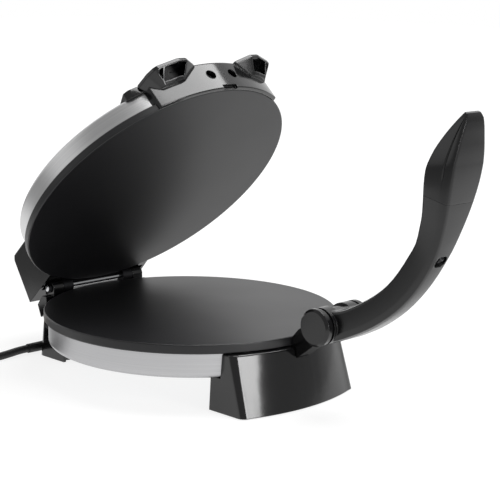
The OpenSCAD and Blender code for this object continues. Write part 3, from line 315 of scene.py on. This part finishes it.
dress(sheath, "strain_relief", "plug_body")

# Stamped and drawn brass: warm yellow, with fine lines along the pins where the
# die has drawn them.
brass, tree, shader, at = surface("stamped_and_drawn_brass")
drawn = add(tree, "ShaderNodeMapping", sockets={"Vector": at, "Scale": (60, 900, 900)})
lines = add(tree, "ShaderNodeTexNoise", sockets={
    "Vector": drawn.outputs["Vector"], "Scale": 1.0, "Detail": 2.0})
two_toned(tree, shader, lines.outputs["Fac"], "#b08d4c", "#cdaa66")
shader.inputs["Metallic"].default_value = 1.0
shader.inputs["Roughness"].default_value = 0.28
dress(brass, "plug_blades", "plug_earth_pin", "arm_bushes", "thermostat_nut")

# ---------------------------------------------------------------------------
# The base pan: one drawn stainless cup, satin brushed round its band, that
# carries the lower plate and is closed below by a slotted sheet.
lines_per_metre, streaks_round = 2600.0, 7.0


def ring_brushed(name, to_axis, dark, light, smooth, rough):
    """Stainless sheet brushed in rings round the plates' axis; returns it and its shader."""
    made, tree, shader, at = surface(name)
    centred = add(tree, "ShaderNodeMapping", sockets={"Vector": at, **to_axis})
    parts = add(tree, "ShaderNodeSeparateXYZ", sockets={"Vector": centred.outputs["Vector"]})
    flat = add(tree, "ShaderNodeCombineXYZ", sockets={
        "X": parts.outputs["X"], "Y": parts.outputs["Y"]})
    reach = add(tree, "ShaderNodeVectorMath", {"operation": "LENGTH"}, {0: flat.outputs["Vector"]})
    across = add(tree, "ShaderNodeMath", {"operation": "ADD"}, {
        0: reach.outputs["Value"], 1: parts.outputs["Z"]})
    # brushing lines 0.4 mm apart, drawn coarser than the real ones
    lines_at = add(tree, "ShaderNodeMath", times, {0: across.outputs[0], 1: lines_per_metre})
    round_x = add(tree, "ShaderNodeMath", times, {0: parts.outputs["X"], 1: streaks_round})
    round_y = add(tree, "ShaderNodeMath", times, {0: parts.outputs["Y"], 1: streaks_round})
    streak_at = add(tree, "ShaderNodeCombineXYZ", sockets={
        "X": round_x.outputs[0], "Y": round_y.outputs[0], "Z": lines_at.outputs[0]})
    streaks = add(tree, "ShaderNodeTexNoise", sockets={
        "Vector": streak_at.outputs["Vector"], "Scale": 1.0, "Detail": 3.0, "Roughness": 0.7})
    two_toned(tree, shader, streaks.outputs["Fac"], dark, light, band=(0.3, 0.7))
    gloss = add(tree, "ShaderNodeMapRange", sockets={
        "Value": streaks.outputs["Fac"], "To Min": smooth, "To Max": rough})
    tree.links.new(gloss.outputs["Result"], shader.inputs["Roughness"])
    scratch = add(tree, "ShaderNodeBump", sockets={
        "Strength": 0.12, "Distance": 0.0001, "Height": streaks.outputs["Fac"]})
    tree.links.new(scratch.outputs["Normal"], shader.inputs["Normal"])
    shader.inputs["Metallic"].default_value = 1.0
    return made, shader


# Brushed stainless: a cool satin grey whose highlight is drawn out along the band.
base_steel, shader = ring_brushed(
    "brushed_stainless_base_band", {"Location": (0, -plate_axis_y, 0)},
    "#b2b2b4", "#c2c2c3", 0.28, 0.42)
shader.inputs["Anisotropic"].default_value = 0.5
dress(base_steel, "base_pan")

# Zinc plated mild steel: a cold light grey, mottled by crystals of 4 to 5 mm.
zinc, tree, shader, at = surface("zinc_plated_mild_steel")
spangle = add(tree, "ShaderNodeTexVoronoi", sockets={"Vector": at, "Scale": 220.0})
two_toned(tree, shader, spangle.outputs["Distance"], "#a9abae", "#c3c5c8")
shader.inputs["Metallic"].default_value = 1.0
shader.inputs["Roughness"].default_value = 0.38
dress(zinc, "bottom_cover", "lower_studs", "upper_studs", "housing_screws", "hinge_screws",
      "thermostat_shaft")

# ---------------------------------------------------------------------------
# The screws that show: cold headed steel with a cross pressed in the head, zinc
# plated under the base and black on the lid and the lever, driven into bosses.

# the lid's screws are placed on the shut lid and opened with it
lid_open = math.radians(47.24)
hinge = Vector((0, 0.1304 + plate_axis_y, 0.0601))
shut = Matrix.Translation(hinge) @ Matrix.Rotation(lid_open, 4, "X") @ Matrix.Translation(-hinge)
opened = shut.inverted()

# Black oxide on steel, oiled: a near black skin with a faint bloom and a soft shine,
# also on the hinge's bracket and clips.
oxide, tree, shader, at = surface("black_oxide_oiled_steel")
bloom = add(tree, "ShaderNodeTexNoise", sockets={"Vector": at, "Scale": 260.0, "Detail": 3.0})
two_toned(tree, shader, bloom.outputs["Fac"], "#1b1b1d", "#2a2a2d")
gloss = add(tree, "ShaderNodeMapRange", sockets={
    "Value": bloom.outputs["Fac"], "To Min": 0.30, "To Max": 0.45})
tree.links.new(gloss.outputs["Result"], shader.inputs["Roughness"])
shader.inputs["Metallic"].default_value = 0.6
dress(oxide, "hinge_clips", "lid_hinge_bracket")

screw_tree = bpy.data.node_groups.new("cross_head_screws", "GeometryNodeTree")
screw_tree.interface.new_socket("Seats", in_out="INPUT", socket_type="NodeSocketGeometry")
screw_sizes = ("Head radius", "Head height", "Shank radius", "Shank length", "Recess width")
for size_name in screw_sizes + ("Tilt",):
    screw_tree.interface.new_socket(size_name, in_out="INPUT", socket_type="NodeSocketFloat")
screw_tree.interface.new_socket("Steel", in_out="INPUT", socket_type="NodeSocketMaterial")
screw_tree.interface.new_socket("Screws", in_out="OUTPUT", socket_type="NodeSocketGeometry")
given = add(screw_tree, "NodeGroupInput")
crown_share, recess_share, into_head = 0.84, 1.15, 0.0004
crown = add(screw_tree, "ShaderNodeMath", times, {0: given.outputs["Head radius"], 1: crown_share})
head = add(screw_tree, "GeometryNodeMeshCone", sockets={
    "Vertices": 40, "Radius Top": crown.outputs[0], "Radius Bottom": given.outputs["Head radius"],
    "Depth": given.outputs["Head height"]})
shank = add(screw_tree, "GeometryNodeMeshCylinder", sockets={
    "Vertices": 24, "Radius": given.outputs["Shank radius"],
    "Depth": given.outputs["Shank length"]})
# the shank hangs from the seat and reaches a little way into the head
half_way = add(screw_tree, "ShaderNodeMath", {"operation": "MULTIPLY_ADD"}, {
    0: given.outputs["Shank length"], 1: -0.5, 2: into_head})
hang = add(screw_tree, "ShaderNodeCombineXYZ", sockets={"Z": half_way.outputs[0]})
hung = add(screw_tree, "GeometryNodeTransform", sockets={
    "Geometry": shank.outputs["Mesh"], "Translation": hang.outputs["Vector"]})
blank = add(screw_tree, "GeometryNodeMeshBoolean", {"operation": "UNION", "solver": "EXACT"}, {
    1: head.outputs["Mesh"]})
screw_tree.links.new(hung.outputs["Geometry"], blank.inputs[1])
bar_long = add(screw_tree, "ShaderNodeMath", times, {
    0: given.outputs["Head radius"], 1: recess_share})
recess_lift = add(screw_tree, "ShaderNodeCombineXYZ", sockets={"Z": given.outputs["Head height"]})
bars = []
for long_way, short_way in (("X", "Y"), ("Y", "X")):
    bar_size = add(screw_tree, "ShaderNodeCombineXYZ", sockets={
        long_way: bar_long.outputs[0], short_way: given.outputs["Recess width"],
        "Z": given.outputs["Head height"]})
    bar = add(screw_tree, "GeometryNodeMeshCube", sockets={"Size": bar_size.outputs["Vector"]})
    bars.append(add(screw_tree, "GeometryNodeTransform", sockets={
        "Geometry": bar.outputs["Mesh"], "Translation": recess_lift.outputs["Vector"]}))
crossed = add(
    screw_tree, "GeometryNodeMeshBoolean", {"operation": "DIFFERENCE", "solver": "EXACT"}, {
        0: blank.outputs["Mesh"], 1: bars[0].outputs["Geometry"]})
screw_tree.links.new(bars[1].outputs["Geometry"], crossed.inputs[1])
tilt = add(screw_tree, "ShaderNodeCombineXYZ", sockets={"X": given.outputs["Tilt"]})
driven = add(screw_tree, "GeometryNodeInstanceOnPoints", sockets={
    "Points": given.outputs["Seats"], "Instance": crossed.outputs["Mesh"],
    "Rotation": tilt.outputs["Vector"]})
real = add(screw_tree, "GeometryNodeRealizeInstances", sockets={
    "Geometry": driven.outputs["Instances"]})
plated = add(screw_tree, "GeometryNodeSetMaterial", sockets={
    "Geometry": real.outputs["Geometry"], "Material": given.outputs["Steel"]})
add(screw_tree, "NodeGroupOutput", sockets={"Screws": plated.outputs["Geometry"]})

foot_screw_x, foot_screw_y = 0.03412, 0.1116
stud_ring = 0.062
cover_screw_x, cover_screw_y, cover_screw_z = 0.0122, -0.06682, 0.0765
# each row: name, body, replaced node, slot, steel, seats, sizes in millimetres, and the
# tilt about X that turns up into the way out of the head
for name, body, replaced, slot_name, steel, seats, sizes, tilt_angle in (
        ("cross_foot_screws", "base", "foot_screws", "zinc_steel", zinc,
         [(x, plate_axis_y + y, 0.024)
          for x in (-foot_screw_x, foot_screw_x) for y in (-foot_screw_y, foot_screw_y)],
         (3.2, 2.4, 1.6, 7.9, 1.0), math.pi),
        ("cross_bottom_screws", "base", "bottom_screws", "zinc_steel", zinc,
         [(stud_ring * math.cos(a), plate_axis_y + stud_ring * math.sin(a), 0.030)
          for a in map(math.radians, (30, 150, 270))],
         (3.4, 2.1, 1.5, 8.5, 1.0), math.pi),
        ("cross_cover_screws", "lid", "front_cover_screws", "black_screw", oxide,
         [opened @ Vector((x, cover_screw_y, cover_screw_z))
          for x in (-cover_screw_x, cover_screw_x)],
         (2.9, 1.4, 1.5, 7.3, 0.9), math.pi / 2 - lid_open),
        ("cross_lever_screw", "arm", "arm_screw", "black_screw", oxide,
         [(0, -0.206463, 0.142080)],
         (3.1, 1.8, 1.5, 10.2, 0.9), math.atan2(0.6211, -0.7839))):
    seat_mesh = bpy.data.meshes.new(name + "_seats")
    seat_mesh.from_pydata(seats, [], [])
    holder = bpy.data.objects.new(name + "_seats", seat_mesh)
    bpy.context.collection.objects.link(holder)
    maker = holder.modifiers.new("cross_head_screws", "NODES")
    maker.node_group = screw_tree
    values = dict(zip(screw_sizes, [size / 1000 for size in sizes]), Tilt=tilt_angle, Steel=steel)
    for item in screw_tree.interface.items_tree:
        if item.name in values:
            maker[item.identifier] = values[item.name]
    bpy.context.view_layer.update()
    mesh = bpy.data.meshes.new_from_object(
        holder.evaluated_get(bpy.context.evaluated_depsgraph_get()))
    bpy.data.objects.remove(holder)
    if mesh.materials[0] is None:
        mesh.materials.pop(index=0)
    screws = bpy.data.objects.new(name, mesh)
    bpy.context.collection.objects.link(screws)
    rolled = screws.modifiers.new("rolled_edges", "BEVEL")
    rolled.width, rolled.segments = 0.00014, 2
    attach(screws, body)
    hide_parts(replaced)

# ---------------------------------------------------------------------------
# The two cooking plates: aluminium castings, turned flat and sprayed with a
# dark non-stick coat that is satin, with a very fine pebble.
coating, tree, shader, at = surface("non_stick_coat_on_cast_aluminium")
# the pebble is a fraction of a millimetre across, drawn a little coarser than it is
pebble = add(tree, "ShaderNodeTexNoise", sockets={
    "Vector": at, "Scale": 1400.0, "Detail": 2.0, "Roughness": 0.5})
cloud = add(tree, "ShaderNodeTexNoise", sockets={"Vector": at, "Scale": 14.0, "Detail": 2.0})
two_toned(tree, shader, cloud.outputs["Fac"], "#161618", "#1e1e20")
gloss = add(tree, "ShaderNodeMapRange", sockets={
    "Value": cloud.outputs["Fac"], "To Min": 0.36, "To Max": 0.44})
tree.links.new(gloss.outputs["Result"], shader.inputs["Roughness"])
coat = add(tree, "ShaderNodeBump", sockets={
    "Strength": 0.12, "Distance": 0.0001, "Height": pebble.outputs["Fac"]})
tree.links.new(coat.outputs["Normal"], shader.inputs["Normal"])
dress(coating, "lower_plate", "upper_plate")


# ---------------------------------------------------------------------------
# The heaters behind the plates: sheathed elements over bright reflector sheets,
# with the terminals and switches on ceramic. They are closed in and seldom seen.
def grained(name, grains, detail, dark, light, rough, metal=0.0):
    """A material of two close tones in grains, so many to the metre; returns its nodes too."""
    made, tree, shader, at = surface(name)
    grain = add(tree, "ShaderNodeTexNoise", sockets={
        "Vector": at, "Scale": grains, "Detail": detail})
    two_toned(tree, shader, grain.outputs["Fac"], dark, light)
    shader.inputs["Roughness"].default_value = rough
    shader.inputs["Metallic"].default_value = metal
    return made, tree, shader, grain


# Steel sheath, tinted brown and straw in patches of a few centimetres by its heat.
tinted = grained("heat_tinted_steel_sheath", 30.0, 2.0, "#4a3f3a", "#7a6a58", 0.5, metal=1.0)[0]
dress(tinted, "lower_element", "upper_element")

# Aluminised sheet: almost a mirror, with long lines from the mill's rolls.
bright_sheet, tree, shader, at = surface("aluminised_reflector_sheet")
rolled_way = add(tree, "ShaderNodeMapping", sockets={"Vector": at, "Scale": (20, 800, 800)})
mill = add(tree, "ShaderNodeTexNoise", sockets={
    "Vector": rolled_way.outputs["Vector"], "Scale": 1.0})
gloss = add(tree, "ShaderNodeMapRange", sockets={
    "Value": mill.outputs["Fac"], "To Min": 0.2, "To Max": 0.34})
tree.links.new(gloss.outputs["Result"], shader.inputs["Roughness"])
shader.inputs["Base Color"].default_value = linear("#dcdcde")
shader.inputs["Metallic"].default_value = 1.0
dress(bright_sheet, "lower_reflector", "upper_reflector")

# Pressed steatite: a dry ivory white with fine specks.
ceramic = grained("pressed_steatite_ceramic", 700.0, 3.0, "#cfc8ba", "#ebe5d8", 0.7)[0]
dress(ceramic, "thermal_cutout", "terminal_block", "thermostat")


# ---------------------------------------------------------------------------
# The feet, the lid's front cover and the control housing: thick mouldings in
# heat resistant plastic, screwed to the pan and the lid, on rubber pads.
def moulded_black(
        name, wave_scale, fine_scale, edge_round, ripple_height, dark, light, smooth, rough):
    """A black moulding with soft edges and the slow wave of its mould; returns its shader too."""
    made, tree, shader, at = surface(name)
    wave = add(tree, "ShaderNodeTexNoise", sockets={
        "Vector": at, "Scale": wave_scale, "Detail": 2.0, "Roughness": 0.4})
    fine = add(tree, "ShaderNodeTexNoise", sockets={
        "Vector": at, "Scale": fine_scale, "Detail": 2.0})
    edge = add(tree, "ShaderNodeBevel", {"samples": 6}, {"Radius": edge_round})
    ripple = add(tree, "ShaderNodeBump", sockets={
        "Strength": ripple_height, "Distance": 0.002, "Height": wave.outputs["Fac"],
        "Normal": edge.outputs["Normal"]})
    tree.links.new(ripple.outputs["Normal"], shader.inputs["Normal"])
    two_toned(tree, shader, fine.outputs["Fac"], dark, light)
    gloss = add(tree, "ShaderNodeMapRange", sockets={
        "Value": wave.outputs["Fac"], "To Min": smooth, "To Max": rough})
    tree.links.new(gloss.outputs["Result"], shader.inputs["Roughness"])
    return made, shader


# Phenolic from a polished mould: deep black and glossy, so that the faint wave of
# the mould, 20 mm long, bends what it mirrors.
gloss_black, shader = moulded_black(
    "polished_black_phenolic_moulding", 55.0, 1600.0, 0.0009, 0.05,
    "#0b0b0c", "#121213", 0.10, 0.15)
shader.inputs["IOR"].default_value = 1.58
dress(gloss_black, "front_foot", "rear_foot", "lid_front_cover", "control_housing")

# Moulded rubber: dull black and slightly dusty.
rubber = grained("moulded_black_rubber", 1200.0, 3.0, "#161616", "#262626", 0.75)[0]
dress(rubber, "foot_pads")

# ---------------------------------------------------------------------------
# The hinge pin and the lever's bolt: steel rod, turned and polished, held by
# clips at the hinge and by caps at the lever.

# Polished steel: a bright grey whose turning marks, a third of a millimetre apart,
# band the highlight along the rod.
rod, tree, shader, at = surface("turned_and_polished_steel_rod")
rings = add(tree, "ShaderNodeMapping", sockets={"Vector": at, "Scale": (3000, 40, 40)})
turning = add(tree, "ShaderNodeTexNoise", sockets={"Vector": rings.outputs["Vector"], "Scale": 1.0})
gloss = add(tree, "ShaderNodeMapRange", sockets={
    "Value": turning.outputs["Fac"], "To Min": 0.12, "To Max": 0.26})
tree.links.new(gloss.outputs["Result"], shader.inputs["Roughness"])
shader.inputs["Base Color"].default_value = linear("#cfd0d2")
shader.inputs["Metallic"].default_value = 1.0
dress(rod, "hinge_pin", "pivot_bolt")

# ---------------------------------------------------------------------------
# The lever with its pivot: two black nylon shells screwed on a tang, swinging
# on a bolt through a bracket on the front foot, with washers and caps.

# Filled nylon: black, a little less glossy than the feet, so that it shows long
# soft highlights along its rounded flanks.
lever_black, shader = moulded_black(
    "satin_black_nylon_lever", 40.0, 1800.0, 0.0007, 0.04,
    "#101011", "#171718", 0.19, 0.26)
shader.inputs["Specular IOR Level"].default_value = 0.5
dress(lever_black, "arm_lower", "arm_grip", "pivot_caps", "pivot_washers", "pivot_bracket")

# ---------------------------------------------------------------------------
# The lid: a stainless cup, drawn, spun and brushed in rings round its middle,
# that carries the upper plate, the housing and the front cover.

# Ring brushed stainless: paler and brighter than the base's band, with fans of light
# on the dome. The rings are laid out on the shut lid, round the plates' axis.
lid_steel = ring_brushed(
    "ring_brushed_stainless_lid",
    {"Rotation": (lid_open, 0, 0), "Location": shut.translation - Vector((0, plate_axis_y, 0))},
    "#c6c6c7", "#d8d8d8", 0.24, 0.38)[0]
dress(lid_steel, "lid_cover")

# ---------------------------------------------------------------------------
# The control panel: a thin satin plate let into the housing, with a printed
# scale of dashes round the knob and one lens at each side.

# Spark grained plastic: dark grey, with a pebble that breaks up the shine.
panel_grey, tree, shader, grain = grained(
    "spark_grained_grey_plastic", 2200.0, 2.0, "#343436", "#424244", 0.5)
bump = add(tree, "ShaderNodeBump", sockets={
    "Strength": 0.2, "Distance": 0.0001, "Height": grain.outputs["Fac"]})
tree.links.new(bump.outputs["Normal"], shader.inputs["Normal"])
dress(panel_grey, "control_panel")

# Pad printed ink: a flat, slightly uneven white.
print_white = grained("pad_printed_white_ink", 3000.0, 2.0, "#d6d6d4", "#f0f0ee", 0.6)[0]

# the dashes of the scale, over three quarters of a turn
scale_tree = bpy.data.node_groups.new("heat_scale", "GeometryNodeTree")
for socket_name, kind, value in (
        ("Dashes", "NodeSocketInt", 11), ("Radius", "NodeSocketFloat", 0.0205),
        ("Start", "NodeSocketFloat", math.radians(-45)),
        ("Sweep", "NodeSocketFloat", math.radians(270)),
        ("Length", "NodeSocketFloat", 0.0028), ("Width", "NodeSocketFloat", 0.0008),
        ("Thickness", "NodeSocketFloat", 0.00012)):
    scale_tree.interface.new_socket(
        socket_name, in_out="INPUT", socket_type=kind).default_value = value
scale_tree.interface.new_socket("Geometry", in_out="OUTPUT", socket_type="NodeSocketGeometry")
given = add(scale_tree, "NodeGroupInput")
index = add(scale_tree, "GeometryNodeInputIndex")
spaces = add(scale_tree, "ShaderNodeMath", {"operation": "SUBTRACT"}, {
    0: given.outputs["Dashes"], 1: 1.0})
share = add(scale_tree, "ShaderNodeMath", {"operation": "DIVIDE"}, {
    0: index.outputs["Index"], 1: spaces.outputs[0]})
turned = add(scale_tree, "ShaderNodeMath", {"operation": "MULTIPLY_ADD"}, {
    0: share.outputs[0], 1: given.outputs["Sweep"], 2: given.outputs["Start"]})
cosine = add(scale_tree, "ShaderNodeMath", {"operation": "COSINE"}, {0: turned.outputs[0]})
sine = add(scale_tree, "ShaderNodeMath", {"operation": "SINE"}, {0: turned.outputs[0]})
out_x = add(scale_tree, "ShaderNodeMath", times, {0: cosine.outputs[0], 1: given.outputs["Radius"]})
out_y = add(scale_tree, "ShaderNodeMath", times, {0: sine.outputs[0], 1: given.outputs["Radius"]})
spot = add(scale_tree, "ShaderNodeCombineXYZ", sockets={
    "X": out_x.outputs[0], "Y": out_y.outputs[0]})
spots = add(scale_tree, "GeometryNodePoints", sockets={
    "Count": given.outputs["Dashes"], "Position": spot.outputs["Vector"]})
size = add(scale_tree, "ShaderNodeCombineXYZ", sockets={
    "X": given.outputs["Length"], "Y": given.outputs["Width"],
    "Z": given.outputs["Thickness"]})
dash = add(scale_tree, "GeometryNodeMeshCube", sockets={"Size": size.outputs["Vector"]})
turn_to = add(scale_tree, "ShaderNodeCombineXYZ", sockets={"Z": turned.outputs[0]})
laid = add(scale_tree, "GeometryNodeInstanceOnPoints", sockets={
    "Points": spots.outputs["Points"], "Instance": dash.outputs["Mesh"],
    "Rotation": turn_to.outputs["Vector"]})
real = add(scale_tree, "GeometryNodeRealizeInstances", sockets={
    "Geometry": laid.outputs["Instances"]})
inked = add(scale_tree, "GeometryNodeSetMaterial", sockets={
    "Geometry": real.outputs["Geometry"], "Material": print_white})
add(scale_tree, "NodeGroupOutput", sockets={"Geometry": inked.outputs["Geometry"]})
scale_maker = bpy.data.objects.new("scale_maker", bpy.data.meshes.new("scale_maker"))
bpy.context.collection.objects.link(scale_maker)
scale_maker.modifiers.new("heat_scale", "NODES").node_group = scale_tree
bpy.context.view_layer.update()
scale_mesh = bpy.data.meshes.new_from_object(
    scale_maker.evaluated_get(bpy.context.evaluated_depsgraph_get()))
bpy.data.objects.remove(scale_maker)
# the dashes stand on the panel's face
knob_place = Vector((0, 0.097 + plate_axis_y, 0.110))
ink_lift = Vector((0, 0, 0.00011))
scale_mesh.transform(opened @ Matrix.Translation(knob_place + ink_lift))
heat_scale = bpy.data.objects.new("heat_scale", scale_mesh)
bpy.context.collection.objects.link(heat_scale)
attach(heat_scale, "lid")

# Tinted polystyrene lenses: clear glossy colour, ribbed by moulded prisms 2 mm apart. The ribs are
# not modelled; the light and shade they catch are painted into the tint as lighter and darker
# stripes.
for lens_name, dark, light in (
        ("green_lens", "#2fae7c", "#63e0b2"), ("red_lens", "#8c0c24", "#b4142f")):
    tinted_plastic, tree, shader, at = surface("tinted_polystyrene_" + lens_name)
    prism_light_and_shade = add(tree, "ShaderNodeTexWave", sockets={
        "Vector": at, "Scale": 160.0, "Distortion": 0.0})
    # painted highlights and shade of the prisms: lighter and darker stripes of the same tint
    two_toned(tree, shader, prism_light_and_shade.outputs["Fac"], dark, light)
    shader.inputs["Roughness"].default_value = 0.12
    dress(tinted_plastic, lens_name)

# Neon lamps in thin glass: painted with the warm pink orange glow of the lit neon, though the lamps
# give no light, and paler in patches of about 3 mm.
neon_glass_painted_glow = grained("neon_lamp_glass_painted_glow", 300.0, 2.0, "#e0a070", "#f4d8b8", 0.1)[0]
dress(neon_glass_painted_glow, "indicator_lamps")

# Phenolic paper board: a flat brown, flecked by the paper in it.
laminate = grained("phenolic_paper_board", 500.0, 4.0, "#8f6c38", "#b48f56", 0.6)[0]
dress(laminate, "lamp_board")

# ---------------------------------------------------------------------------
# The knob: a black fluted skirt with a silver cap, both moulded in plastic and
# pressed on the thermostat's flatted shaft, with a printed line that points.

# Glossy resin: black, with just enough grain to look moulded.
knob_black = grained("glossy_black_knob_resin", 1500.0, 2.0, "#101011", "#191919", 0.22)[0]
dress(knob_black, "knob_skirt")

# Sprayed silver on plastic: a pale metal look whose fine flakes soften the shine.
silver = grained("silver_sprayed_abs_cap", 4000.0, 2.0, "#c8c9cb", "#e4e5e6", 0.32, metal=0.6)[0]
dress(silver, "knob_cap")

# Black enamel, pad printed from the dot near the cap's rim towards its middle, so
# that the line reads against the silver.
enamel = grained("pad_printed_black_enamel", 3000.0, 2.0, "#111112", "#1d1d1e", 0.4)[0]
cap_flat = 0.1337  # the height of the cap's face over the table, with the lid shut
pointer_wide, pointer_thick, pointer_near, pointer_far = 0.0015, 0.00010, 0.0035, 0.0092
round_end = [math.pi * (1 + i / 8) for i in range(9)]
outline = [(pointer_wide / 2 * math.cos(a), -pointer_far + pointer_wide / 2 * math.sin(a))
           for a in round_end]
outline += [(-x, -pointer_near - pointer_far - y) for x, y in outline]
count = len(outline)
pointer_mesh = bpy.data.meshes.new("knob_pointer")
pointer_mesh.from_pydata(
    [(x, y, 0) for x, y in outline] + [(x, y, pointer_thick) for x, y in outline], [],
    [tuple(range(count))[::-1], tuple(range(count, 2 * count))]
    + [(i, (i + 1) % count, count + (i + 1) % count, count + i) for i in range(count)])
pointer_mesh.transform(opened @ Matrix.Translation((0, knob_place.y, cap_flat)))
pointer_mesh.materials.append(enamel)
knob_pointer = bpy.data.objects.new("knob_pointer", pointer_mesh)
bpy.context.collection.objects.link(knob_pointer)
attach(knob_pointer, "knob")
